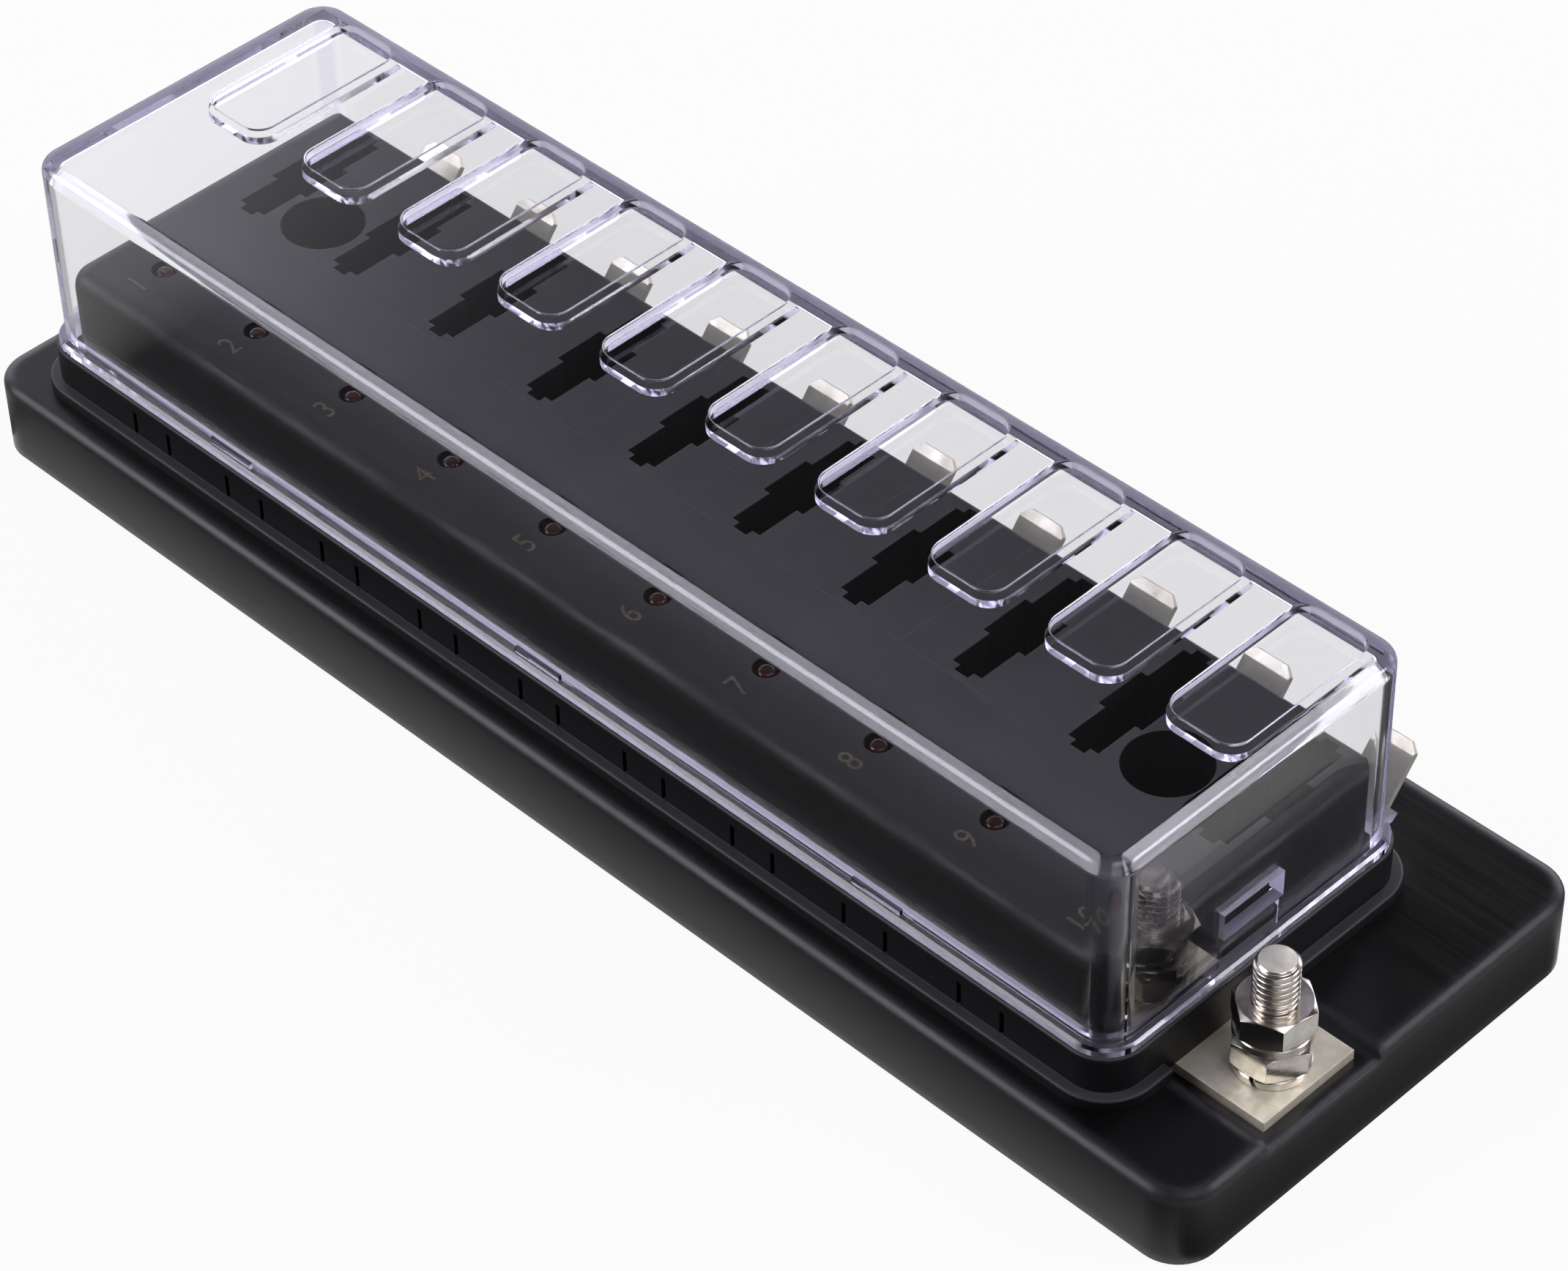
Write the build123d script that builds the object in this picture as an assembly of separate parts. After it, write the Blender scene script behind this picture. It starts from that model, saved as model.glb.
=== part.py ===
from build123d import *
import os
from math import cos, sin, radians, pi

os.makedirs("parts", exist_ok=True)

# Ten way blade fuse block with a clear cover. Millimetres, Z up, X along the
# length towards the supply stud, -Y is the indicator side, +Y the terminal side.
# The origin is the middle of the underside of the base.

# Base: a moulding with a thick top, ribbed into cells below
BASE_L, BASE_W, BASE_H = 190.0, 63.4, 10.5
BASE_R, BASE_EDGE, BASE_FOOT_EDGE = 5.0, 1.0, 0.3
BASE_ROWS, BASE_WALL, BASE_RIB, CELL_DEEP = 3, 2.5, 1.8, 6.6
END_X = BASE_L / 2

# Circuits, as many as the base's length has room for: ten
PITCH = 16.5
ROW_X = -2.5                      # middle of the row of fuse slots
ROW_ENDS = 25.0                   # length that the row leaves free, both ends together
WAYS = int((BASE_L - ROW_ENDS) / PITCH + 0.001)
SLOT_X = [ROW_X + PITCH * (i - (WAYS - 1) / 2) for i in range(WAYS)]

# Supply stud and bus bar. The 5 mm thread is left smooth: the stud at the mean
# radius of the thread, the holes of the nuts at its outer radius.
STUD_IN = 7.2                     # from the base's end
STUD_X, STUD_Y = END_X - STUD_IN, -10.3
THREAD_R = 2.5
STUD_R, STUD_TOP, STUD_TIP = THREAD_R - 0.26, 25.45, 0.5
STUD_HEAD_R, STUD_HEAD_T = 4.0, 2.4
BUS_T = 1.3
BUS_CLEAR = 0.3                   # between the bus bar and its channel
STRIP_W = 10.0                    # bus bar under the body
PLATE_W = 14.0
PLATE_X0, PLATE_X1 = STUD_X - 9.8, STUD_X + 5.1
PLATE_CLEAR = 1.8                 # between the plate's sides and the recess
TONGUE_W = 4.0

# Mounting holes, one between the two circuits at each end
HOLE_X = [(SLOT_X[0] + SLOT_X[1]) / 2, (SLOT_X[-2] + SLOT_X[-1]) / 2]
HOLE_Y = 0.4
HOLE_R, WELL_R, BOSS_R, WELL_FLOOR = 2.6, 5.0, 5.0, 1.1

# Outline of the cover, which sets the body below it
COVER_PLAIN_END, COVER_STUD_END = 7.4, 15.2    # from the base's ends
COVER_X0, COVER_X1 = COVER_PLAIN_END - END_X, END_X - COVER_STUD_END
COVER_Y0, COVER_Y1 = -26.3, 18.6
COVER_TOP, COVER_R, COVER_EDGE = 42.85, 3.7, 1.4
COVER_WALL, COVER_ROOF, COVER_INNER_EDGE = 1.9, 2.2, 0.8
RIM_OUT, RIM_T, RIM_EDGE = 0.9, 1.05, 0.3
SEAT_GAP = 0.05                   # under each piece that lifts or unscrews
WIN_Y0, WIN_Y1, WIN_Z0, WIN_Z1 = -9.1, 0.1, 21.3, 24.8
RELIEF = 0.5                      # groove inside the wall below a window
SNAP_X = [-54.9, -3.5, 47.8]
SNAP_L, SNAP_OUT, SNAP_TOP = 7.0, 0.4, 18.7
KEY_X, KEY_L, KEY_OUT = COVER_X1 - 2.2, 1.6, 0.8
POCKET_DX, POCKET_W, POCKET_Y0, POCKET_Y1 = -0.2, 9.6, -4.9, 16.9
POCKET_R, POCKET_DEEP, POCKET_WALL, POCKET_EDGE = 2.4, 1.0, 0.5, 0.25

# Fuse body
FOOT_OUT, FOOT_T = 1.3, 1.4       # step round the foot of the body
WALL_OUT = RIM_OUT + 0.35         # lower wall, outside the cover's outline
STEP_EDGE = 0.35
SHOULDER_Z = 16.6
BLOCK_TOP = 27.7
SIDE_GAP, END_GAP = 0.3, 0.4      # between the cover and the block inside it
BLOCK_X0, BLOCK_X1 = COVER_X0 + COVER_WALL + END_GAP, COVER_X1 - COVER_WALL - END_GAP
BLOCK_Y0, BLOCK_Y1 = COVER_Y0 + COVER_WALL + SIDE_GAP, COVER_Y1 - COVER_WALL - SIDE_GAP
BLOCK_R, BLOCK_ROUND, BLOCK_ROUND_BACK = 3.0, 2.5, 0.6
FOOT_TOP = BASE_H + FOOT_T
LUG_OUT, LUG_SIDE = 0.55, 0.6
LUG_Z0, LUG_Z1 = WIN_Z0 + 0.3, WIN_Z1 - 0.4
GROOVE_W, GROOVE_DEEP, GROOVE_GAP, GROOVE_TOP = 0.6, 0.5, 6.0, 1.5

# Fuse slots: width and length of the three rectangles that make each one
SLOT_Y = 5.55
SLOT_DEEP = 10.0
SLOT_STEPS = [(4.2, 18.0), (2.0, 19.9), (6.1, 6.6)]
SLOT_FLOOR = BLOCK_TOP - SLOT_DEEP
SOCKET_Y0 = -5.2                  # front of each socket, the part of the moulding round a slot
CLIP_SPAN = 13.8                  # between the two clips of one circuit
CLIP_Y_IN, CLIP_Y_OUT = SLOT_Y - CLIP_SPAN / 2, SLOT_Y + CLIP_SPAN / 2
CLIP_W, CLIP_UNDER = 5.2, 0.3     # length along Y, and room below the slot
CHAMBER_W, CHAMBER_L = 4.2, 6.2   # room for a clip under a slot

# Output terminals
TAB_W, TAB_T = 6.3, 0.8
TAB_BEND_Y, TAB_LEAN, TAB_LEN = 22.1, 50.5, 9.9
TAB_BEVEL, TAB_BEVEL_T, TAB_CLIP = 1.3, 0.22, 1.0
TAB_SIDE, TAB_OVER = 0.15, 0.1    # clearance in the tunnel
TAB_IN = 0.4                      # strip past the clip, inside

# Indicators and their board
LED_DX, LED_Y, LED_R, LED_HOLE_R = 0.3, -16.0, 1.1, 1.6
LED_SUNK, LED_ROUND, LED_FLANGE_R, LED_FLANGE_T = 0.1, 0.6, 1.5, 0.9
LED_TOP = BLOCK_TOP - LED_SUNK
ROOM_X0, ROOM_X1 = SLOT_X[0] - 6.5, SLOT_X[-1] + 4.0
ROOM_Y0, ROOM_Y1, ROOM_TOP = -21.6, -9.6, 24.4
BOARD_T, BOARD_TOP, BOARD_CLEAR = 1.6, 23.2, 0.3
BOARD_BOSS_R = 1.6

# Nuts and washers on the stud
NUT_AF, NUT_T, NUT_EDGE = 8.0, 3.45, 0.38
NUT_R = NUT_AF / 2 / cos(pi / 6)
LOW_NUT_TURN, TOP_NUT_TURN = -57, -38
LOCK_R, LOCK_T, LOCK_FIT, LOCK_CUT, LOCK_EDGE = 4.25, 1.1, 0.15, 0.5, 0.12
LOCK_SLANT = 25
LOW_LOCK_TURN, TOP_LOCK_TURN = -75, 100
LOW_LOCK_Z = BASE_H
LOW_NUT_Z = LOW_LOCK_Z + LOCK_T
TOP_LOCK_Z = LOW_NUT_Z + NUT_T + SEAT_GAP
TOP_NUT_Z = TOP_LOCK_Z + LOCK_T + SEAT_GAP

# Spring leaf of a clip as distance from the blade and share of its height
CLIP_T = 0.4
LEAF_INNER = [(1.35, 0.0), (1.35, 0.16), (0.35, 0.74), (1.1, 1.0)]
LEAF_OUTER = [(1.5, 0.98), (0.8, 0.74), (1.75, 0.18), (1.75, 0.0)]


def box(x0, x1, y0, y1, z0, z1):
    """A box between stated corners."""
    return Pos((x0 + x1) / 2, (y0 + y1) / 2, (z0 + z1) / 2) * Box(x1 - x0, y1 - y0, z1 - z0)


def slab(x0, x1, y0, y1, z0, z1, r):
    """An upright slab with rounded corners in plan."""
    face = Pos((x0 + x1) / 2, (y0 + y1) / 2, z0) * RectangleRounded(x1 - x0, y1 - y0, r)
    return extrude(face, z1 - z0)


def outline(out, z0, z1):
    """The cover's outline, grown by out, as a slab."""
    return slab(COVER_X0 - out, COVER_X1 + out, COVER_Y0 - out, COVER_Y1 + out, z0, z1, COVER_R + out)


def rod(x, y, z0, z1, r):
    """An upright cylinder."""
    return Pos(x, y, (z0 + z1) / 2) * Cylinder(r, z1 - z0)


def prism(plane, points, length):
    """A closed outline on a plane, extruded along the plane's normal."""
    return extrude(plane * make_face(Polyline(*points, close=True)), length)


def top_edges(solid):
    return solid.edges().group_by(Axis.Z)[-1]


def save(solid, name):
    solid.label = name
    export_step(solid, "parts/" + name + ".step")


def leaf(x, y, z, tall, side):
    """One spring leaf: straight foot, pinch and flared mouth, on one side of the blade."""
    points = [(x + side * off, z + tall * up) for off, up in LEAF_INNER + LEAF_OUTER]
    return prism(Plane.XZ.offset(-y - CLIP_W / 2), points, CLIP_W)


def make_base():
    """One moulding, ribbed below, with the bus bar's channel and the stud's pocket."""
    base = slab(-END_X, END_X, -BASE_W / 2, BASE_W / 2, 0, BASE_H, BASE_R)
    base = fillet(top_edges(base), BASE_EDGE)
    base = chamfer(base.edges().group_by(Axis.Z)[0], BASE_FOOT_EDGE)
    cell_l = PITCH - BASE_RIB
    row = (BASE_W - 2 * BASE_WALL + BASE_RIB) / BASE_ROWS
    cell_w = row - BASE_RIB
    cells = [Pos(x, row * (j - (BASE_ROWS - 1) / 2), CELL_DEEP / 2) * Box(cell_l, cell_w, CELL_DEEP)
             for x in SLOT_X for j in range(BASE_ROWS)]
    base -= cells
    base += [rod(x, HOLE_Y, 0, BASE_H, BOSS_R) for x in HOLE_X]
    base -= [rod(x, HOLE_Y, -1, BASE_H + 1, HOLE_R) for x in HOLE_X]
    floor = BASE_H - BUS_T
    half = PLATE_W / 2 + PLATE_CLEAR
    base -= box(PLATE_X0 - BUS_CLEAR, END_X + 1, STUD_Y - half, STUD_Y + half, floor, BASE_H + 1)
    strip_y1 = STUD_Y - PLATE_W / 2 + STRIP_W
    base -= box(SLOT_X[0] - TONGUE_W / 2 - BUS_CLEAR, PLATE_X0, STUD_Y - PLATE_W / 2 - BUS_CLEAR,
                strip_y1 + BUS_CLEAR, floor, BASE_H + 1)
    side = TONGUE_W / 2 + BUS_CLEAR
    base -= [box(x - side, x + side, strip_y1, CLIP_Y_IN + CLIP_W / 2 + BUS_CLEAR, floor, BASE_H + 1)
             for x in SLOT_X]
    base -= rod(STUD_X, STUD_Y, floor - STUD_HEAD_T, floor + BUS_T, STUD_HEAD_R + BUS_CLEAR)
    return base


def make_block():
    """The block inside the cover: full round edges at the front and ends, a small one at the back."""
    x0, x1, y0, y1 = BLOCK_X0, BLOCK_X1, BLOCK_Y0, BLOCK_Y1
    z0 = SHOULDER_Z - 1
    plan = slab(x0, x1, y0, y1, z0, BLOCK_TOP, BLOCK_R)
    cross = box(x0, x1, y0, y1, z0, BLOCK_TOP)
    cross = fillet(cross.edges().filter_by(Axis.X).group_by(Axis.Z)[-1].sort_by(Axis.Y)[-1], BLOCK_ROUND_BACK)
    along = fillet(top_edges(slab(x0, x1, y0, y1 + 2 * BLOCK_R, z0, BLOCK_TOP, BLOCK_R)), BLOCK_ROUND)
    lug = box(x0 - LUG_OUT, x1 + LUG_OUT, WIN_Y0 + LUG_SIDE, WIN_Y1 - LUG_SIDE, LUG_Z0, LUG_Z1)
    return (plan & cross & along) + lug


def make_moulding():
    """Stepped foot, grooved lower wall with the cover's shoulder, and the slotted block."""
    body = fillet(top_edges(outline(WALL_OUT + FOOT_OUT, BASE_H, FOOT_TOP)), STEP_EDGE)
    body += fillet(top_edges(outline(WALL_OUT, BASE_H, SHOULDER_Z)), STEP_EDGE)
    body += make_block()
    # The foot is cut away over the open end of the bus bar's recess.
    half = PLATE_W / 2 + PLATE_CLEAR
    wall_x1 = COVER_X1 + WALL_OUT
    body -= box(wall_x1, wall_x1 + 2 * FOOT_OUT, STUD_Y - half, STUD_Y + half, BASE_H, FOOT_TOP)
    # A pair of fine grooves between each two circuits, on both long walls
    grooves = []
    for x in [a + PITCH / 2 + s * GROOVE_GAP / 2 for a in SLOT_X[:-1] for s in (-1, 1)]:
        for y in (COVER_Y0 - WALL_OUT, COVER_Y1 + WALL_OUT):
            grooves.append(box(x - GROOVE_W / 2, x + GROOVE_W / 2, y - GROOVE_DEEP, y + GROOVE_DEEP,
                               FOOT_TOP, SHOULDER_Z - GROOVE_TOP))
    body -= grooves
    # Room for the indicators' board, which hangs from bosses between the indicators
    body -= box(ROOM_X0, ROOM_X1, ROOM_Y0, ROOM_Y1, BASE_H, ROOM_TOP)
    body += [rod(x, LED_Y, BOARD_TOP, ROOM_TOP + 0.5, BOARD_BOSS_R) for x in board_boss_x()]
    tunnel = TAB_W / 2 + TAB_SIDE
    cuts = []
    for x in SLOT_X:
        for w, l in SLOT_STEPS:
            cuts.append(box(x - w / 2, x + w / 2, SLOT_Y - l / 2, SLOT_Y + l / 2, SLOT_FLOOR, BLOCK_TOP + 1))
        w, l = CHAMBER_W / 2, CHAMBER_L / 2
        cuts.append(box(x - w, x + w, CLIP_Y_IN - l, CLIP_Y_IN + l, BASE_H - 1, SLOT_FLOOR))
        cuts.append(box(x - w, x + w, CLIP_Y_OUT - l, CLIP_Y_OUT + l, FOOT_TOP, SLOT_FLOOR))
        cuts.append(box(x - tunnel, x + tunnel, CLIP_Y_OUT - l, COVER_Y1 + WALL_OUT + 1,
                        FOOT_TOP, FOOT_TOP + TAB_T + TAB_OVER))
        cuts.append(rod(x + LED_DX, LED_Y, ROOM_TOP - 1, BLOCK_TOP + 1, LED_HOLE_R))
    for x in HOLE_X:
        cuts.append(rod(x, HOLE_Y, FOOT_TOP + WELL_FLOOR, BLOCK_TOP + 1, WELL_R))
        cuts.append(rod(x, HOLE_Y, BASE_H - 1, BLOCK_TOP, HOLE_R))
    return body - cuts


def socket_space(i):
    """The space of one circuit's socket, from halfway to the next slot on each side."""
    x0 = (SLOT_X[i - 1] + SLOT_X[i]) / 2 if i > 0 else BLOCK_X0
    x1 = (SLOT_X[i] + SLOT_X[i + 1]) / 2 if i < WAYS - 1 else BLOCK_X1
    return box(x0, x1, SOCKET_Y0, BLOCK_Y1, FOOT_TOP, BLOCK_TOP + 1)


def board_boss_x():
    """Places of the board's bosses, between indicators at each end and in the middle."""
    return [SLOT_X[i] + PITCH / 2 for i in (0, WAYS // 2 - 1, WAYS - 2)]


def make_bus_bar():
    """Strip in the channel, wide end under the stud, and a tongue for the clip of each circuit."""
    floor, y0 = BASE_H - BUS_T, STUD_Y - PLATE_W / 2
    bus = box(SLOT_X[0] - TONGUE_W / 2, PLATE_X1, y0, y0 + STRIP_W, floor, BASE_H)
    bus += box(PLATE_X0, PLATE_X1, y0, y0 + PLATE_W, floor, BASE_H)
    half, y1 = TONGUE_W / 2, CLIP_Y_IN + CLIP_W / 2
    bus += [box(x - half, x + half, y0, y1, floor, BASE_H) for x in SLOT_X]
    return bus - rod(STUD_X, STUD_Y, 0, BASE_H + 1, THREAD_R)


def make_input_clip(x):
    """A forked spring clip standing on a tongue of the bus bar."""
    half = LEAF_OUTER[-1][0]
    clip = box(x - half, x + half, CLIP_Y_IN - CLIP_W / 2, CLIP_Y_IN + CLIP_W / 2, BASE_H, BASE_H + CLIP_T)
    return clip + [leaf(x, CLIP_Y_IN, BASE_H, SLOT_FLOOR - CLIP_UNDER - BASE_H, side) for side in (-1, 1)]


def make_terminal(x):
    """Flat strip with a clip inside, and a leaning tab with a bevelled tip and clipped corners."""
    lean = radians(TAB_LEAN)
    up_y, up_z = cos(lean), sin(lean)
    bend = TAB_T * (1 - up_y) / up_z

    def at(along, off):
        return (TAB_BEND_Y + along * up_y - off * up_z, FOOT_TOP + along * up_z + off * up_y)

    y_in = CLIP_Y_OUT - CLIP_W / 2 - TAB_IN
    side_view = [(y_in, FOOT_TOP), (TAB_BEND_Y, FOOT_TOP), at(TAB_LEN - TAB_BEVEL, 0),
                 at(TAB_LEN, TAB_BEVEL_T), at(TAB_LEN, TAB_T - TAB_BEVEL_T), at(TAB_LEN - TAB_BEVEL, TAB_T),
                 (TAB_BEND_Y - bend, FOOT_TOP + TAB_T), (y_in, FOOT_TOP + TAB_T)]
    tab = prism(Plane.YZ.offset(x - TAB_W / 2), side_view, TAB_W)
    flat = Plane(origin=(x, TAB_BEND_Y, FOOT_TOP), x_dir=(1, 0, 0), z_dir=(0, -up_z, up_y))
    for side in (-1, 1):
        corner = [(side * (TAB_W / 2 + out * TAB_CLIP), TAB_LEN + on * TAB_CLIP)
                  for out, on in ((-1, 0), (0, -1), (1, -2), (1, 1), (-2, 1))]
        tab -= prism(flat.offset(-TAB_T), corner, 3 * TAB_T)
        tab += leaf(x, CLIP_Y_OUT, FOOT_TOP + TAB_T, SLOT_FLOOR - CLIP_UNDER - FOOT_TOP - TAB_T, side)
    return tab


def make_indicator(x):
    """A round indicator with a rounded top and a flange on its board."""
    lens = fillet(top_edges(rod(x, LED_Y, BOARD_TOP, LED_TOP, LED_R)), LED_ROUND)
    return lens + rod(x, LED_Y, BOARD_TOP, BOARD_TOP + LED_FLANGE_T, LED_FLANGE_R)


def make_board():
    c = BOARD_CLEAR
    return box(ROOM_X0 + c, ROOM_X1 - c, ROOM_Y0 + c, ROOM_Y1 - c, BOARD_TOP - BOARD_T, BOARD_TOP)


def make_stud():
    """Stud with its round head held under the bus bar."""
    under = BASE_H - BUS_T
    head = rod(STUD_X, STUD_Y, under - STUD_HEAD_T + SEAT_GAP, under, STUD_HEAD_R)
    return head + chamfer(top_edges(rod(STUD_X, STUD_Y, under, STUD_TOP, STUD_R)), STUD_TIP)


def make_nut(z, turn):
    """A hexagon nut with both faces chamfered; turn sets the direction of one corner."""
    hexagon = extrude(Pos(STUD_X, STUD_Y, z) * Rot(0, 0, turn) * RegularPolygon(NUT_R, 6), NUT_T)
    turned = rod(STUD_X, STUD_Y, z, z + NUT_T, NUT_R)
    turned = chamfer(turned.edges().filter_by(GeomType.CIRCLE), NUT_EDGE, NUT_R - NUT_AF / 2 + 0.05)
    return (hexagon & turned) - rod(STUD_X, STUD_Y, z - 1, z + NUT_T + 1, THREAD_R)


def make_lock_washer(z, turn):
    """A split spring washer; turn sets where the slanted cut lies."""
    ring = chamfer(rod(STUD_X, STUD_Y, z, z + LOCK_T, LOCK_R).edges().filter_by(GeomType.CIRCLE), LOCK_EDGE)
    ring -= rod(STUD_X, STUD_Y, z - 1, z + LOCK_T + 1, THREAD_R + LOCK_FIT)
    place = Pos(STUD_X, STUD_Y, z + LOCK_T / 2) * Rot(0, 0, turn) * Pos(LOCK_R, 0, 0) * Rot(LOCK_SLANT, 0, 0)
    return ring - place * Box(LOCK_R, LOCK_CUT, 4 * LOCK_T)


def make_cover():
    """Clear shell with a rim, ten label pockets, snap windows in the ends and snap pads."""
    z0 = SHOULDER_Z + SEAT_GAP
    ceiling = COVER_TOP - COVER_ROOF
    cover = fillet(top_edges(outline(0, z0, COVER_TOP)), COVER_EDGE)
    cover += chamfer(top_edges(outline(RIM_OUT, z0, z0 + RIM_T)), RIM_EDGE)
    for x in SNAP_X:
        for y, side in ((COVER_Y0, -1), (COVER_Y1, 1)):
            wedge = [(y - side * 0.5, z0 + RIM_T / 2), (y + side * SNAP_OUT, z0 + RIM_T / 2),
                     (y + side * SNAP_OUT, SNAP_TOP - SNAP_OUT), (y - side * 0.5, SNAP_TOP)]
            cover += prism(Plane.YZ.offset(x - SNAP_L / 2), wedge, SNAP_L)
    rim_y = COVER_Y1 + RIM_OUT
    key = [(rim_y - 1.5, z0 + 0.4), (rim_y, z0 + 0.4), (rim_y + KEY_OUT, z0 + 1.1), (rim_y - 1.5, SNAP_TOP)]
    cover += prism(Plane.YZ.offset(KEY_X - KEY_L / 2), key, KEY_L)
    cover -= fillet(top_edges(outline(-COVER_WALL, z0 - 1, ceiling)), COVER_INNER_EDGE)
    inside = outline(-COVER_WALL / 2, z0, COVER_TOP - COVER_ROOF / 2)
    pockets = []
    for x in SLOT_X:
        x0, x1 = x + POCKET_DX - POCKET_W / 2, x + POCKET_DX + POCKET_W / 2
        pad = slab(x0 - POCKET_WALL, x1 + POCKET_WALL, POCKET_Y0 - POCKET_WALL, COVER_Y1,
                   ceiling - POCKET_DEEP, ceiling + 0.5, POCKET_R + POCKET_WALL)
        cover += pad & inside
        pockets.append(slab(x0, x1, POCKET_Y0, POCKET_Y1, COVER_TOP - POCKET_DEEP, COVER_TOP + 1, POCKET_R))
    cover -= pockets
    mouths = cover.edges().group_by(Axis.Z)[-1].filter_by_position(Axis.Y, POCKET_Y0 - 0.1, POCKET_Y1 + 0.1)
    cover = fillet(mouths.filter_by_position(Axis.X, COVER_X0 + 3, COVER_X1 - 3), POCKET_EDGE)
    cover -= box(COVER_X0 - 1, COVER_X1 + 1, WIN_Y0, WIN_Y1, WIN_Z0, WIN_Z1)
    deep = COVER_WALL - RELIEF
    cover -= box(COVER_X0 + deep, COVER_X1 - deep, WIN_Y0, WIN_Y1, z0 - 1, WIN_Z0)
    return cover


save(make_base(), "mounting_base")
# The moulding round each slot is a solid of its own, so that simulation can keep the slot open.
moulding = make_moulding()
save(moulding - [socket_space(i) for i in range(WAYS)], "fuse_body")
save(make_bus_bar(), "bus_bar")
save(make_board(), "indicator_board")
for i, x in enumerate(SLOT_X):
    save(moulding & socket_space(i), "fuse_socket_%02d" % (i + 1))
    save(make_input_clip(x), "input_clip_%02d" % (i + 1))
    save(make_terminal(x), "output_terminal_%02d" % (i + 1))
    save(make_indicator(x + LED_DX), "indicator_%02d" % (i + 1))
save(make_stud(), "supply_stud")
save(make_lock_washer(LOW_LOCK_Z, LOW_LOCK_TURN), "lower_lock_washer")
save(make_nut(LOW_NUT_Z, LOW_NUT_TURN), "lower_nut")
save(make_lock_washer(TOP_LOCK_Z, TOP_LOCK_TURN), "upper_lock_washer")
save(make_nut(TOP_NUT_Z, TOP_NUT_TURN), "terminal_nut")
save(make_cover(), "clear_cover")
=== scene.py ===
import math

import bpy
import numpy as np
from mathutils import Matrix, Vector


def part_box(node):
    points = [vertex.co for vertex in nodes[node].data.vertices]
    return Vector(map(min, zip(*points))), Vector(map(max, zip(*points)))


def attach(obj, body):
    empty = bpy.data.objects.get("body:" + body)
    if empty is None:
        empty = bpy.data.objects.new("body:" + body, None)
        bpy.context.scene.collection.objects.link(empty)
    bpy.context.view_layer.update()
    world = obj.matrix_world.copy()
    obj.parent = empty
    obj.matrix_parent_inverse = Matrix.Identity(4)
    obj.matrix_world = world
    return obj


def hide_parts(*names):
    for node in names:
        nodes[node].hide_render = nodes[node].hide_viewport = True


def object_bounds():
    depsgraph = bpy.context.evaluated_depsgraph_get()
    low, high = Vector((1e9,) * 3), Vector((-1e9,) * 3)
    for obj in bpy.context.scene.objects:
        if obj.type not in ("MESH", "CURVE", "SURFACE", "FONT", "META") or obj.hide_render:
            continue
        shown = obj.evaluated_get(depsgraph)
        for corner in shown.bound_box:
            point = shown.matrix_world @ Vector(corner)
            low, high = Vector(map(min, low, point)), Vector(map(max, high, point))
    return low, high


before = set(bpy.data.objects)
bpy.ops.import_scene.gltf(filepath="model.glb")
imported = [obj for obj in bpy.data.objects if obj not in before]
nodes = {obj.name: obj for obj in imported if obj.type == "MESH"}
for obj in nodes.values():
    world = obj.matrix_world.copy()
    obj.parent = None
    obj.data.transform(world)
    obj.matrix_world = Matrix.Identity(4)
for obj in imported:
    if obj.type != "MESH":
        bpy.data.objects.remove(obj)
cad_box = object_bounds()

# Places and sizes of this block in metres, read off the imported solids
MM = 0.001
WAYS = 10
base_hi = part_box("mounting_base")[1]
stud_lo, stud_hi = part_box("supply_stud")
cover_lo, cover_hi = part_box("clear_cover")
STUD_X, STUD_Y = (stud_lo.x + stud_hi.x) / 2, (stud_lo.y + stud_hi.y) / 2
STUD_HEAD_R = (stud_hi.x - stud_lo.x) / 2
BUS_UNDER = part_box("bus_bar")[0].z
BLOCK_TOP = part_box("fuse_body")[1].z

# Heights in millimetres between which the slots in the block have their steps
SLOT_STEPS_Z = (17.0, BLOCK_TOP / MM - 0.4)

# The cover in millimetres: its outline inside the rim, its back and its top. WALL_IN is the depth
# from the outline to just inside a wall.
RIM_OUT, WALL_IN = 0.9, 2.0
COVER_X0, COVER_X1 = cover_lo.x / MM + RIM_OUT, cover_hi.x / MM - RIM_OUT
COVER_BACK, COVER_TOP = 18.6, cover_hi.z / MM

# Duller areas of the cover: the ten label pockets together, the snap windows in the end walls, and
# the two far walls above and below CLEAR_Z
POCKETS_X, POCKETS_Y = (COVER_X0 + 3.6, COVER_X1 - 3.2), (-5.3, 17.05)
POCKETS_Z = (COVER_TOP - 0.98, COVER_TOP - 0.25)
INSIDE_X = (COVER_X0 + WALL_IN, COVER_X1 - WALL_IN)
WINDOW_Y, WINDOW_Z = (-9.13, 0.13), (21.27, 24.83)
FAR_X, FAR_Y = COVER_X0 + WALL_IN + 0.3, COVER_BACK - WALL_IN
CLEAR_Z = (cover_lo.z / MM + 3.5, COVER_TOP - 2.25)

# How dull the pockets and the round edges are, where 1 is a roughness of DULL_ROUGH, and how much
# of the lavender cast the round edges take
POCKET_DULL, EDGE_MILK, EDGE_CAST, DULL_ROUGH = 0.7, 0.2, 0.5, 0.6

# The stud's sawn end: how far below the top the cut starts, the depth over which it sets in, what it
# adds to the roughness, and how metallic it is
SAWN_START, SAWN_BLEND = 0.07, 0.02
SAWN_ROUGH, SAWN_METALLIC = 0.3, 0.35


# Shader helpers

def new_material(name):
    """An empty node material and its tree, for the functions below to fill."""
    m = bpy.data.materials.new(name)
    m.use_nodes = True
    m.node_tree.nodes.clear()
    return m, m.node_tree


def add(tree, kind, inputs=None, **settings):
    """Adds a node; inputs maps socket names to values or to output sockets to link from."""
    n = tree.nodes.new(kind)
    for key, value in settings.items():
        setattr(n, key, value)
    for key, value in (inputs or {}).items():
        if isinstance(value, bpy.types.NodeSocket):
            tree.links.new(value, n.inputs[key])
        else:
            n.inputs[key].default_value = value
    return n


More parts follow.
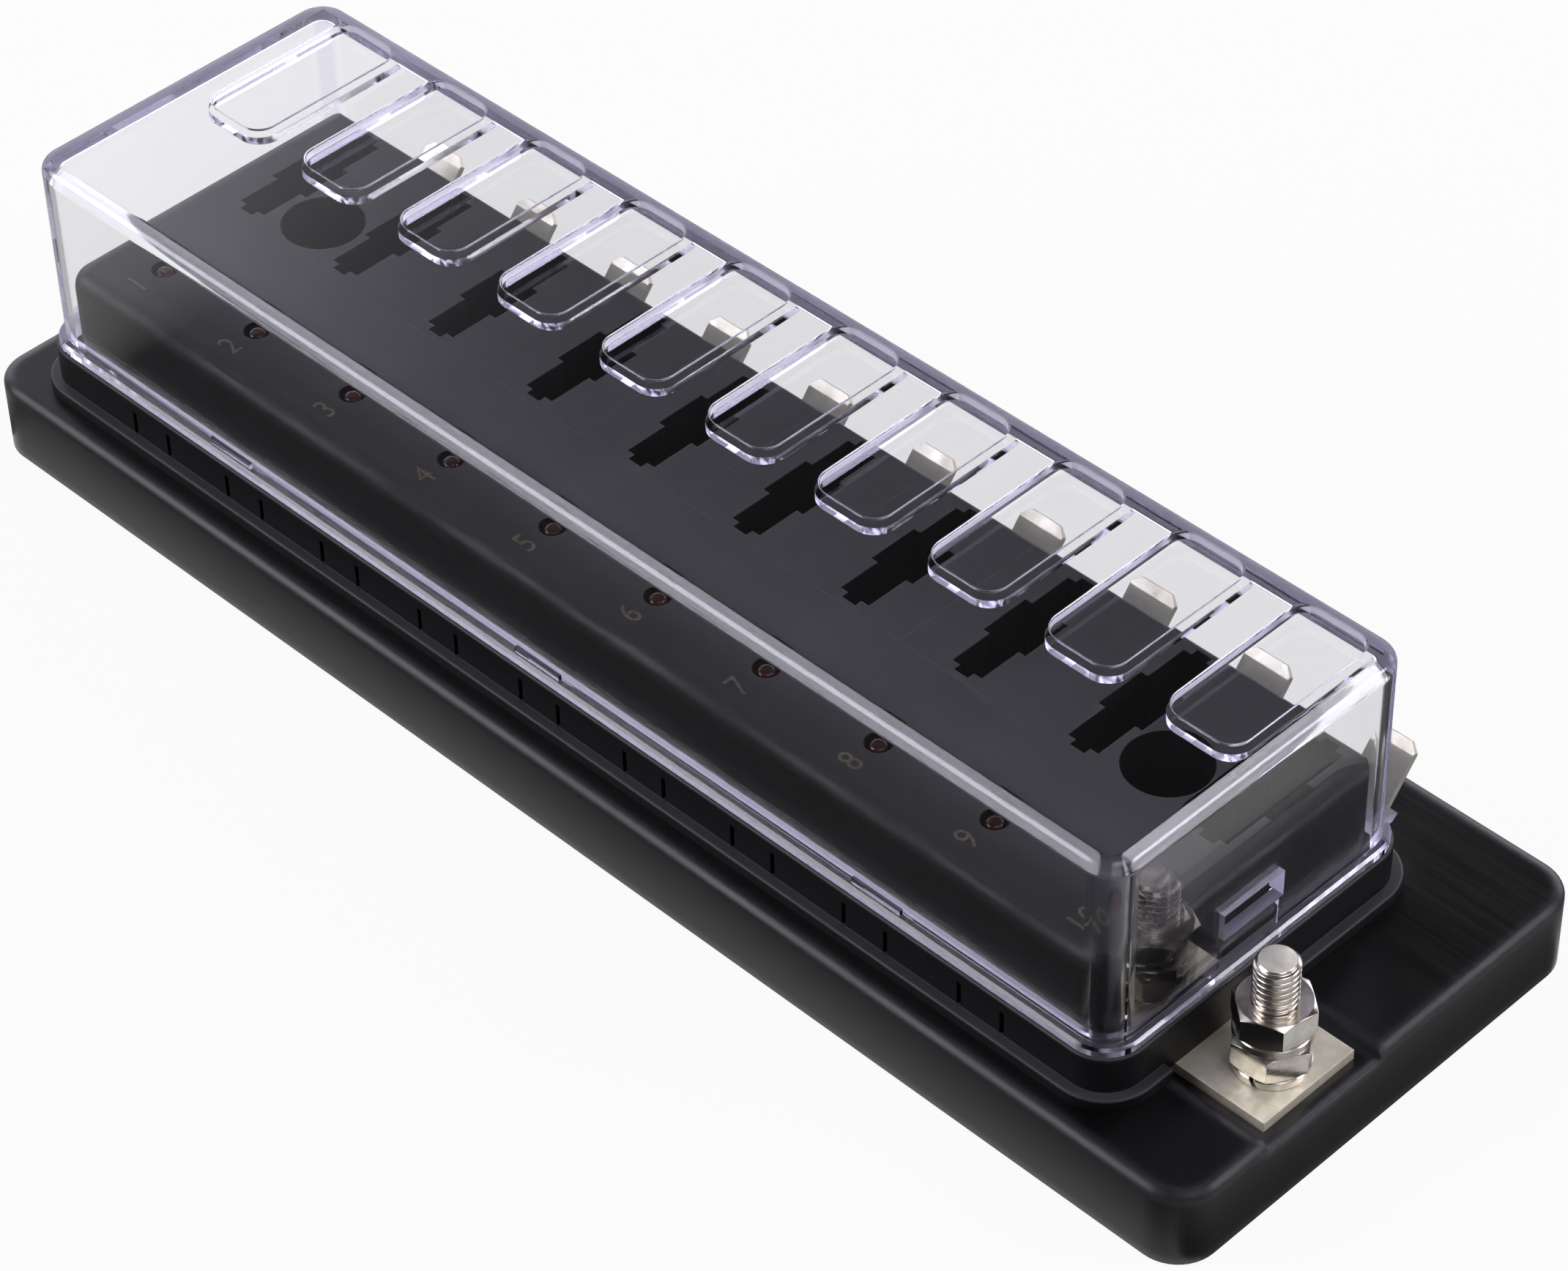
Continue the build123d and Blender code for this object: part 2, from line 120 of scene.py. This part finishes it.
def place(tree, scale=(1, 1, 1), turn=(0, 0, 0)):
    """Object coordinates in millimetres, stretched and turned."""
    coord = add(tree, "ShaderNodeTexCoord").outputs["Object"]
    inputs = {"Vector": coord, "Rotation": turn, "Scale": tuple(s / MM for s in scale)}
    return add(tree, "ShaderNodeMapping", inputs).outputs["Vector"]


def geometry(tree, key):
    """A vector of the surface, such as its Normal."""
    return add(tree, "ShaderNodeNewGeometry").outputs[key]


def axes(tree, vector):
    """A vector's X, Y and Z."""
    return add(tree, "ShaderNodeSeparateXYZ", {"Vector": vector}).outputs


def dot(tree, a, b):
    """The dot product of two vectors: the cosine between them where both have length 1."""
    return add(tree, "ShaderNodeVectorMath", {0: a, 1: b}, operation="DOT_PRODUCT").outputs["Value"]


def noise(tree, where, scale, detail=2.0, rough=0.5):
    """Smooth noise from 0 to 1, mostly near 0.5. A larger scale makes finer patches."""
    inputs = {"Vector": where, "Scale": scale, "Detail": detail, "Roughness": rough}
    return add(tree, "ShaderNodeTexNoise", inputs).outputs["Fac"]


def spread(tree, value, low, high, out_low=0.0, out_high=1.0):
    """Stretches a value's range low to high onto another range, and clamps it there."""
    inputs = {"Value": value, "From Min": low, "From Max": high, "To Min": out_low, "To Max": out_high}
    return add(tree, "ShaderNodeMapRange", inputs).outputs["Result"]


def combine(tree, operation, *values):
    """One value from several, taken in order by a chain of Math nodes."""
    total = values[0]
    for value in values[1:]:
        total = add(tree, "ShaderNodeMath", {0: total, 1: value}, operation=operation).outputs["Value"]
    return total


def product(tree, *values):
    """All values multiplied together."""
    return combine(tree, "MULTIPLY", *values)


def plus(tree, *values):
    """All values added up."""
    return combine(tree, "ADD", *values)


def largest(tree, *values):
    """The largest of some values."""
    return combine(tree, "MAXIMUM", *values)


def opposite(tree, share):
    """1 less a share."""
    return combine(tree, "SUBTRACT", 1.0, share)


def over(tree, value, limit):
    """1 where a value is above a limit, else 0."""
    return combine(tree, "GREATER_THAN", value, limit)


def under(tree, value, limit):
    """1 where a value is below a limit, else 0."""
    return combine(tree, "LESS_THAN", value, limit)


def within(tree, value, low, high):
    """1 where a value lies between two limits, else 0."""
    return product(tree, over(tree, value, low), under(tree, value, high))


def unsigned(tree, value):
    """A value without its sign."""
    return add(tree, "ShaderNodeMath", {0: value}, operation="ABSOLUTE").outputs["Value"]


def tint(tree, amount, low, high):
    """Mixes two colours by an amount. The low one may be another mix."""
    if not isinstance(low, bpy.types.NodeSocket):
        low = (*low, 1)
    inputs = {"Factor": amount, "A": low, "B": (*high, 1)}
    return add(tree, "ShaderNodeMix", inputs, data_type="RGBA").outputs["Result"]


def rounded_normal(tree, radius_mm):
    """The normal with hard edges rounded, which is shading alone."""
    return add(tree, "ShaderNodeBevel", {"Radius": radius_mm * MM}, samples=6).outputs["Normal"]


def bump(tree, height, strength, depth_mm, edge_mm=None):
    """A bumped normal. Where edge_mm is given, hard edges are rounded by it."""
    inputs = {"Height": height, "Strength": strength, "Distance": depth_mm * MM}
    if edge_mm:
        inputs["Normal"] = rounded_normal(tree, edge_mm)
    return add(tree, "ShaderNodeBump", inputs).outputs["Normal"]


def surface(tree, colour, roughness, normal=None, **others):
    """The principled shader and the output. others are more of its sockets, with _ for a space."""
    inputs = {key.replace("_", " "): value for key, value in others.items()}
    inputs.update({"Base Color": colour, "Roughness": roughness})
    if normal is not None:
        inputs["Normal"] = normal
    shader = add(tree, "ShaderNodeBsdfPrincipled", inputs)
    add(tree, "ShaderNodeOutputMaterial", {"Surface": shader.outputs["BSDF"]})


# Finishes

def black_base_plastic():
    """Satin black moulding of the base: faint flow marks, rubbed patches, fine dust, and edges painted
    light grey where the rounded normal leaves the face's own, partly wear and partly a painted
    highlight."""
    m, t = new_material("base_black_moulding")
    broad = noise(t, place(t, (0.05, 0.09, 0.09)), 1.0, 3)
    grain = noise(t, place(t), 3.2, 2)
    rubs = noise(t, place(t, (0.05, 1.6, 1.6), (0, 0, 0.06)), 1.0, 4, 0.6)
    dust = spread(t, noise(t, place(t), 1.1, 6, 0.75), 0.66, 0.8)
    black, dusty, worn_highlight_grey = (0.0008, 0.0008, 0.0011), (0.02, 0.02, 0.021), (0.042, 0.042, 0.050)
    # The grey painted on the rounded edges is partly rubbing wear and partly a painted highlight that
    # widens their shine
    turn = dot(t, rounded_normal(t, 2.4), geometry(t, "True Normal"))
    worn = product(t, spread(t, turn, 0.9995, 0.95), spread(t, rubs, 0.3, 0.6, 0.6, 1.0))
    colour = tint(t, worn, tint(t, product(t, dust, broad), black, dusty), worn_highlight_grey)
    rough = plus(t, spread(t, broad, 0.3, 0.7, 0.26, 0.33), spread(t, rubs, 0.35, 0.75, 0.0, 0.07))
    height = plus(t, grain, product(t, rubs, 0.6))
    surface(t, colour, rough, bump(t, height, 0.25, 0.02, 1.8), IOR=1.42)
    return m


def black_body_plastic():
    """The fuse body's black moulding: spark-eroded grain, handling scratches, pale specks, and a
    painted grey sheen on the faces that look up, kept off the steps down inside the slots, which lie in
    shade.
    The painted sheen is strongest between the lamps and the slots, and weaker to either side."""
    m, t = new_material("fuse_body_black_moulding")
    broad = noise(t, place(t, (0.07, 0.07, 0.07)), 1.0, 3)
    grain = noise(t, place(t), 2.6, 3, 0.6)
    rubs = noise(t, place(t, (0.12, 1.1, 1.1), (0, 0, 0.5)), 1.0, 4, 0.6)
    specks = spread(t, noise(t, place(t), 0.9, 6, 0.9), 0.66, 0.72)
    # painted_sheen_grey is painted light: the sheen that faces looking up catch, put into their colour,
    # and left off the shaded slot steps
    black, painted_sheen_grey, pale = (0.0022, 0.0022, 0.0036), (0.092, 0.090, 0.102), (0.11, 0.11, 0.12)
    at = axes(t, place(t))
    upward = spread(t, axes(t, geometry(t, "Normal"))["Z"], 0.5, 0.95)
    patchy = spread(t, broad, 0.3, 0.7, 0.8, 1.0)
    to_terminals = spread(t, at["Y"], -12.0, 8.0, 1.0, 0.5)
    to_front = spread(t, at["Y"], -19.0, -12.0, 0.4, 1.0)
    clear_of_slot_shade = opposite(t, within(t, at["Z"], *SLOT_STEPS_Z))
    painted_sheen = product(t, upward, patchy, to_terminals, to_front, clear_of_slot_shade)
    colour = tint(t, specks, tint(t, painted_sheen, black, painted_sheen_grey), pale)
    rough = plus(t, spread(t, broad, 0.3, 0.7, 0.46, 0.54), spread(t, rubs, 0.4, 0.8, 0.0, 0.08))
    height = plus(t, grain, product(t, rubs, 0.4))
    surface(t, colour, rough, bump(t, height, 0.35, 0.03, 0.15), IOR=1.42)
    return m


def clear_cover_plastic():
    """Clear cover: a faint lavender cast, slow ripples in the faces, hairline scratches, the duller
    finish of the tool on the walls of the label pockets, in the snap windows and along the far
    walls, and round edges that are slightly milky."""
    m, t = new_material("cover_clear_plastic")
    ripple = noise(t, place(t, (0.05, 0.08, 0.08)), 1.0, 1)
    hair = noise(t, place(t, (0.15, 2.5, 2.5), (0, 0, 0.7)), 1.0, 5, 0.7)
    clear, lavender = (0.985, 0.982, 0.998), (0.80, 0.78, 0.92)
    at = axes(t, place(t))
    facing = axes(t, geometry(t, "Normal"))

    pockets = product(t, within(t, at["X"], *POCKETS_X), within(t, at["Y"], *POCKETS_Y),
                      within(t, at["Z"], *POCKETS_Z))
    steep = within(t, facing["Z"], -0.6, 0.6)
    sideways = spread(t, unsigned(t, facing["Y"]), 0.3, 0.8, 1.0, 0.15)
    pocket_walls = product(t, pockets, steep, sideways, POCKET_DULL)

    end_walls = opposite(t, within(t, at["X"], *INSIDE_X))
    windows = product(t, end_walls, within(t, at["Y"], *WINDOW_Y), within(t, at["Z"], *WINDOW_Z))

    far_walls = largest(t, under(t, at["X"], FAR_X), over(t, at["Y"], FAR_Y))
    far_edges = product(t, far_walls, opposite(t, within(t, at["Z"], *CLEAR_Z)))

    flattest = largest(t, *[unsigned(t, facing[key]) for key in ("X", "Y", "Z")])
    round_edges = spread(t, flattest, 0.94, 0.99, 1.0, 0.0)

    dull = largest(t, pocket_walls, windows, product(t, round_edges, EDGE_MILK), far_edges)
    rough = largest(t, spread(t, hair, 0.62, 0.8, 0.004, 0.06), product(t, dull, DULL_ROUGH))
    colour = tint(t, largest(t, dull, product(t, round_edges, EDGE_CAST)), clear, lavender)
    surface(t, colour, rough, bump(t, ripple, 0.05, 0.08), IOR=1.5, Transmission_Weight=1.0)
    return m


def plated_metal(name, colour, dark, rough, streak, metallic=1.0, relief=0.2, sawn=None):
    """Nickel plate over brass or steel: drawn streaks, small stains and soft dents. A lower
    metallic is a duller plate. Above the height sawn, in millimetres, the end is cut and matt."""
    m, t = new_material(name)
    drawn = noise(t, place(t, streak), 1.0, 4, 0.65)
    stains = noise(t, place(t, (0.35, 0.35, 0.35)), 1.0, 5, 0.6)
    pits = noise(t, place(t), 2.2, 3)
    shade = tint(t, spread(t, stains, 0.38, 0.66), colour, dark)
    rough = plus(t, spread(t, drawn, 0.3, 0.7, rough - 0.05, rough + 0.05),
                 spread(t, stains, 0.45, 0.75, 0.0, 0.1))
    if sawn:
        height = axes(t, place(t))["Z"]
        rough = plus(t, rough, spread(t, height, sawn, sawn + SAWN_BLEND, 0.0, SAWN_ROUGH))
        metallic = spread(t, height, sawn, sawn + SAWN_BLEND, metallic, SAWN_METALLIC)
    dents = plus(t, drawn, product(t, pits, 0.5))
    surface(t, shade, rough, bump(t, dents, relief, 0.02, 0.1), Metallic=metallic)
    return m


def red_lens():
    """Dark red indicator lens with a glossy skin and a slightly cloudy inside."""
    m, t = new_material("indicator_red_lens")
    cloud = noise(t, place(t), 0.9, 3)
    colour = tint(t, cloud, (0.026, 0.004, 0.005), (0.060, 0.008, 0.009))
    rough = spread(t, noise(t, place(t), 3.0, 2), 0.3, 0.7, 0.18, 0.26)
    surface(t, colour, rough, IOR=1.42)
    return m


def printed_numeral():
    """Faded pad-printed ink, with worn gaps."""
    m, t = new_material("numeral_ink")
    worn = spread(t, noise(t, place(t), 2.4, 4, 0.7), 0.42, 0.62)
    colour = tint(t, worn, (0.170, 0.150, 0.095), (0.085, 0.076, 0.055))
    surface(t, colour, spread(t, worn, 0.0, 1.0, 0.5, 0.65))
    return m


def board_laminate():
    """Green circuit board with a woven ripple under its lacquer."""
    m, t = new_material("board_laminate")
    inputs = {"Vector": place(t), "Scale": 0.8, "Distortion": 1.0}
    weave = add(t, "ShaderNodeTexWave", inputs).outputs["Fac"]
    colour = tint(t, weave, (0.01, 0.08, 0.03), (0.014, 0.11, 0.04))
    surface(t, colour, 0.4, bump(t, weave, 0.2, 0.02, 0.1))
    return m


# Pieces that the solids leave to this script

def put_in_scene(name, data):
    """A new object at the origin."""
    o = bpy.data.objects.new(name, data)
    bpy.context.scene.collection.objects.link(o)
    return o


def turned(radius, z, angle, centre):
    """Surface of revolution whose radius may change with angle: rows of rings, closed by end caps.
    A point is (radius cos angle, radius sin angle, z) about the centre."""
    rows, cols = radius.shape
    x, y = centre[0] + radius * np.cos(angle), centre[1] + radius * np.sin(angle)
    grid = np.stack([x, y, np.broadcast_to(z[:, None], radius.shape)], -1).reshape(-1, 3)
    ends = np.array([[*centre, z[0]], [*centre, z[-1]]])
    ring = np.arange(cols)
    after = (ring + 1) % cols
    row = np.arange(rows - 1)[:, None] * cols
    above = row + cols
    quads = np.stack([row + ring, row + after, above + after, above + ring], -1).reshape(-1, 4)
    bottom = np.stack([np.full(cols, rows * cols), after, ring], -1)
    top = np.stack([np.full(cols, rows * cols + 1), above[-1] + ring, above[-1] + after], -1)
    return np.concatenate([grid, ends]), quads.tolist() + bottom.tolist() + top.tolist()


THREAD_PITCH, THREAD_DEPTH, THREAD_R = 0.8 * MM, 0.42 * MM, 2.47 * MM
THREAD_ROWS, THREAD_COLS = 16, 72       # rows to a pitch, and points round each
STUD_CHAMFER = 0.55 * MM
SQUARE_STEP = 0.001 * MM                # height of the step from the stud's head to its shank


def threaded_stud():
    """The supply stud. Its radius is the thread's crest less a rounded V that follows a helix: the
    V's depth depends on the fraction of a pitch that z is above the helix at that angle. It is full
    within an eighteenth of a pitch of the V's middle and nothing a third of a pitch away."""
    step = THREAD_PITCH / THREAD_ROWS
    shank = np.arange(BUS_UNDER, stud_hi.z - step / 2, step)
    z = np.concatenate([[stud_lo.z, BUS_UNDER - SQUARE_STEP], shank, [stud_hi.z]])
    angle = np.linspace(0, 2 * np.pi, THREAD_COLS, endpoint=False)
    turns = (z[:, None] / THREAD_PITCH - angle[None, :] / (2 * np.pi)) % 1.0
    groove = np.clip(1.2 - 3.6 * np.abs(turns - 0.5), 0.0, 1.0)
    radius = THREAD_R - THREAD_DEPTH * (groove * groove * (3 - 2 * groove))
    cap = THREAD_R - np.clip(z - (stud_hi.z - STUD_CHAMFER), 0, None)
    radius = np.minimum(radius, cap[:, None])
    radius[:2] = STUD_HEAD_R
    points, faces = turned(radius, z, angle[None, :], (STUD_X, STUD_Y))
    mesh = bpy.data.meshes.new("threaded_supply_stud")
    mesh.from_pydata(points.tolist(), [], faces)
    mesh.validate()
    mesh.polygons.foreach_set("use_smooth", [True] * len(mesh.polygons))
    mesh.update()
    stud = put_in_scene("threaded_supply_stud", mesh)
    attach(stud, "base")
    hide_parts("supply_stud")


# Numerals: their height, their width as a share of the letter's own, their middle along Y and how
# far it lies from the lamp's along X, their gap over the block, and the thickness of the ink
NUMERAL_TALL, NUMERAL_WIDE = 3.1 * MM, 0.806
NUMERAL_Y, NUMERAL_FROM_LAMP = -20.0 * MM, -0.2 * MM
NUMERAL_LIFT, INK_T = 0.02 * MM, 0.03 * MM


def numeral(number):
    """A printed numeral on the block beside its indicator, its head towards -X, reading along +Y.
    A letter's point (across, up) goes to (-up, across) about the numeral's middle."""
    text = bpy.data.curves.new("numeral", "FONT")
    text.body = str(number)
    text.size = 1.0
    text.align_x = "CENTER"
    text.align_y = "CENTER"
    text.extrude = 0.5
    letter = put_in_scene("numeral_%02d_ink" % number, text)
    bpy.context.view_layer.update()
    mesh = bpy.data.meshes.new_from_object(letter.evaluated_get(bpy.context.evaluated_depsgraph_get()))
    bpy.data.objects.remove(letter)
    co = np.zeros(len(mesh.vertices) * 3)
    mesh.vertices.foreach_get("co", co)
    co = co.reshape(-1, 3)
    middle, tall = (co.max(0) + co.min(0)) / 2, np.ptp(co[:, 1])
    across, up, out = ((co - middle) / tall).T
    lamp_lo, lamp_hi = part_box("indicator_%02d" % number)
    x = (lamp_lo.x + lamp_hi.x) / 2 + NUMERAL_FROM_LAMP - up * NUMERAL_TALL
    y = NUMERAL_Y + across * NUMERAL_TALL * NUMERAL_WIDE
    z = BLOCK_TOP + NUMERAL_LIFT + (out > 0) * INK_T
    mesh.vertices.foreach_set("co", np.stack([x, y, z], -1).ravel())
    mesh.update()
    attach(put_in_scene("numeral_%02d" % number, mesh), "base")


threaded_stud()
for i in range(WAYS):
    numeral(i + 1)


# Which finish each piece has

def dress(material, *names):
    """Gives CAD nodes or new pieces their finish."""
    for name in names:
        o = nodes.get(name) or bpy.data.objects[name]
        o.data.materials.clear()
        o.data.materials.append(material)


def numbered(name):
    """The names of the pieces that each circuit has one of."""
    return ["%s_%02d" % (name, i + 1) for i in range(WAYS)]


bus_nickel = plated_metal("bus_bar_nickel", (0.95, 0.90, 0.76), (0.72, 0.68, 0.54), 0.48,
                          streak=(0.5, 2.6, 2.6), metallic=0.65)
terminal_nickel = plated_metal("terminal_nickel", (0.93, 0.91, 0.80), (0.80, 0.77, 0.66), 0.36,
                               streak=(1.2, 0.9, 0.9), metallic=0.7, relief=0.16)
stud_nickel = plated_metal("stud_nickel", (0.86, 0.82, 0.75), (0.62, 0.58, 0.52), 0.2,
                           streak=(1.5, 1.5, 0.8), relief=0.12, sawn=stud_hi.z / MM - SAWN_START)
nut_nickel = plated_metal("nut_nickel", (0.84, 0.80, 0.73), (0.60, 0.56, 0.50), 0.14,
                          streak=(0.8, 0.8, 2.6), relief=0.1)
washer_nickel = plated_metal("washer_nickel", (0.80, 0.76, 0.70), (0.52, 0.48, 0.43), 0.18,
                             streak=(0.9, 0.9, 3.0), relief=0.1)

dress(black_base_plastic(), "mounting_base")
dress(black_body_plastic(), "fuse_body", *numbered("fuse_socket"))
dress(clear_cover_plastic(), "clear_cover")
dress(bus_nickel, "bus_bar")
dress(terminal_nickel, *numbered("output_terminal"), *numbered("input_clip"))
dress(stud_nickel, "threaded_supply_stud")
dress(nut_nickel, "lower_nut", "terminal_nut")
dress(washer_nickel, "lower_lock_washer", "upper_lock_washer")
dress(red_lens(), *numbered("indicator"))
dress(board_laminate(), "indicator_board")
dress(printed_numeral(), *numbered("numeral"))


# Floor, light and camera

WHITE = (1, 1, 1, 1)

# The lavender glow that light brings out of the cover's walls
EDGE_GLOW, EDGE_LEVEL = (0.72, 0.70, 0.95, 1), 0.55


def blend(tree, share, first, second):
    """Mixes two shaders, from all of the first at a share of 0 to all of the second at 1."""
    return add(tree, "ShaderNodeMixShader", {"Fac": share, 1: first.outputs[0], 2: second.outputs[0]})


def seen_through(tree, path):
    """1 for what the camera sees directly or straight through the clear cover, and 0 after light
    has bounced off the block or off a face of the cover."""
    bounces = plus(tree, path["Glossy Depth"], path["Diffuse Depth"])
    through = product(tree, path["Is Transmission Ray"], under(tree, bounces, 0.5))
    return largest(tree, path["Is Camera Ray"], through)


def inside_wall(tree, path):
    """1 for light that went into a wall of the cover, ran along inside it and came out again, and
    also where it did so in a second wall."""
    mirrorings, crossings = path["Glossy Depth"], path["Transmission Depth"]
    one_wall = product(tree, over(tree, mirrorings, 1.5), within(tree, crossings, 0.5, 2.5))
    two_walls = product(tree, over(tree, mirrorings, 2.5), within(tree, crossings, 2.5, 4.5))
    return product(tree, plus(tree, one_wall, two_walls), path["Is Transmission Ray"])


# Floor: half its length, its gap below the block, its grey where it is lit and in shadow, and the
# share of that grey in the white that the camera sees
FLOOR_HALF, FLOOR_GAP = 2.5, 0.3 * MM
FLOOR_GREY, GREY_SHARE = (0.7, 0.7, 0.7, 1), 0.07

# How bright the floor looks in reflections, by the distance from the base: a low level, a glow
# close beside it that fades out, another far off that sets in, and the glow past its ends
REFLECTED_LEVEL = 0.04
CLOSE_GLOW, CLOSE_REACH, CLOSE_FADE = 0.9, 10.0 * MM, 1.5
DISTANT_GLOW, DISTANT_FROM, DISTANT_TO = 0.4, 35.0 * MM, 90.0 * MM
END_GLOW_NEAR, END_GLOW_FAR, END_FROM, END_TO = 0.16, 0.5, 3.0 * MM, 9.0 * MM
TINY = 1e-6                             # keeps a division off zero


def floor_in_reflections(tree):
    """How bright the floor is to light that has met the block, by distance and direction from the
    base's outline: along is for the spots beside it, past_end for those past its ends."""
    at = axes(tree, add(tree, "ShaderNodeTexCoord").outputs["Object"])
    past_x = largest(tree, combine(tree, "SUBTRACT", unsigned(tree, at["X"]), base_hi.x), 0.0)
    past_y = largest(tree, combine(tree, "SUBTRACT", unsigned(tree, at["Y"]), base_hi.y), 0.0)
    squares = plus(tree, combine(tree, "POWER", past_x, 2), combine(tree, "POWER", past_y, 2))
    distance = add(tree, "ShaderNodeMath", {0: squares}, operation="SQRT").outputs["Value"]
    fading = combine(tree, "POWER", spread(tree, distance, 0.0, CLOSE_REACH, 1.0, 0.0), CLOSE_FADE)
    distant = spread(tree, distance, DISTANT_FROM, DISTANT_TO, 0.0, DISTANT_GLOW)
    along = plus(tree, product(tree, fading, CLOSE_GLOW), REFLECTED_LEVEL, distant)
    past_end = spread(tree, distance, END_FROM, END_TO, END_GLOW_NEAR, END_GLOW_FAR)
    share = combine(tree, "DIVIDE", past_x, plus(tree, distance, TINY))
    return add(tree, "ShaderNodeMix", {"Factor": share, "A": along, "B": past_end}).outputs["Result"]


def floor():
    """Pale floor: white to the camera and through the clear cover, with a faint contact shadow. In
    reflections it is bright beside the block and falls off away from it, like a small light table."""
    half, z = FLOOR_HALF, cad_box[0][2] - FLOOR_GAP
    corners = [(-half, -half, z), (half, -half, z), (half, half, z), (-half, half, z)]
    mesh = bpy.data.meshes.new("floor")
    mesh.from_pydata(corners, [], [(0, 1, 2, 3)])
    m, t = new_material("floor_pale")
    path = add(t, "ShaderNodeLightPath").outputs
    lit = add(t, "ShaderNodeBsdfDiffuse", {"Color": FLOOR_GREY})
    white = add(t, "ShaderNodeEmission", {"Color": WHITE, "Strength": 1.0})
    glow = add(t, "ShaderNodeEmission", {"Color": WHITE, "Strength": floor_in_reflections(t)})
    wall_glow = add(t, "ShaderNodeEmission", {"Color": EDGE_GLOW, "Strength": EDGE_LEVEL})
    mirrored = largest(t, path["Is Glossy Ray"], path["Is Transmission Ray"])
    unseen = blend(t, inside_wall(t, path), blend(t, mirrored, lit, glow), wall_glow)
    shown = blend(t, GREY_SHARE, white, lit)
    whole = blend(t, seen_through(t, path), unseen, shown)
    add(t, "ShaderNodeOutputMaterial", {"Surface": whole.outputs[0]})
    mesh.materials.append(m)
    put_in_scene("floor", mesh)


# Soft boxes: the direction each stands in, the cosines of the angles from it at which the light
# starts and is full, and the strength
SOFT_BOXES = [
    ((-0.93, 0.25, 0.25), 0.83, 0.97, 2.2),     # wide, beyond the plain end
    ((-0.08, 0.97, 0.20), 0.88, 0.975, 2.8),    # wide, behind the terminals
    ((-0.55, -0.67, 0.49), 0.93, 0.985, 8.0),   # in front on the left
    ((0.55, -0.1, 0.83), 0.92, 0.97, 2.2),      # overhead
    ((0.66, 0.50, 0.52), 0.975, 0.990, 12.0),   # small, on the right
    ((-0.62, 0.78, 0.03), 0.88, 0.97, 2.4)]     # low behind, for the far edges
SOFT_COLOUR, SURROUND_LEVEL = (0.95, 0.93, 1.0, 1), 0.05


def soft_box(tree, ray, aim, start, full, strength):
    """The light of one soft box along a ray."""
    nearness = dot(tree, ray, tuple(Vector(aim).normalized()))
    inputs = {"Value": nearness, "From Min": start, "From Max": full, "To Max": strength}
    return add(tree, "ShaderNodeMapRange", inputs, interpolation_type="SMOOTHSTEP").outputs["Result"]


def studio():
    """Soft surround: a low level all round and the soft boxes, white to the camera."""
    world = bpy.data.worlds.new("studio")
    bpy.context.scene.world = world
    world.use_nodes = True
    t = world.node_tree
    t.nodes.clear()
    ray = add(t, "ShaderNodeTexCoord").outputs["Generated"]
    level = plus(t, SURROUND_LEVEL, *[soft_box(t, ray, *box) for box in SOFT_BOXES])
    soft = add(t, "ShaderNodeBackground", {"Color": SOFT_COLOUR, "Strength": level})
    white = add(t, "ShaderNodeBackground", {"Color": WHITE, "Strength": 1.0})
    glow_level = plus(t, level, EDGE_LEVEL)
    wall_glow = add(t, "ShaderNodeBackground", {"Color": EDGE_GLOW, "Strength": glow_level})
    path = add(t, "ShaderNodeLightPath").outputs
    unseen = blend(t, inside_wall(t, path), soft, wall_glow)
    whole = blend(t, seen_through(t, path), unseen, white)
    add(t, "ShaderNodeOutputWorld", {"Surface": whole.outputs[0]})


# The camera that was fitted to the photograph: it stands off the stud end on the indicator side
CAMERA_AT = Vector((0.29999, -0.28216, 0.38070))
CAMERA_TURN, CAMERA_DOWN, CAMERA_ROLL = 46.016, 42.243, -1.539
CAMERA_LENS, SENSOR_WIDTH, CLIP_START = 113.47, 36.0, 0.01


def camera():
    """Looks along an azimuth and a downward angle, then rolls about that line."""
    data = bpy.data.cameras.new("camera")
    data.sensor_width = SENSOR_WIDTH
    data.lens = CAMERA_LENS
    data.clip_start = CLIP_START
    o = put_in_scene("camera", data)
    turn = Matrix.Rotation(math.radians(CAMERA_TURN), 4, "Z")
    down = Matrix.Rotation(math.radians(90 - CAMERA_DOWN), 4, "X")
    roll = Matrix.Rotation(math.radians(CAMERA_ROLL), 4, "Z")
    o.matrix_world = Matrix.Translation(CAMERA_AT) @ turn @ down @ roll
    bpy.context.scene.camera = o


floor()
studio()
camera()
bpy.context.scene.view_settings.view_transform = "Standard"
# Light runs down inside the cover's walls, which takes more mirrorings than four.
bpy.context.scene.cycles.glossy_bounces = 10
bpy.context.scene.cycles.max_bounces = 16
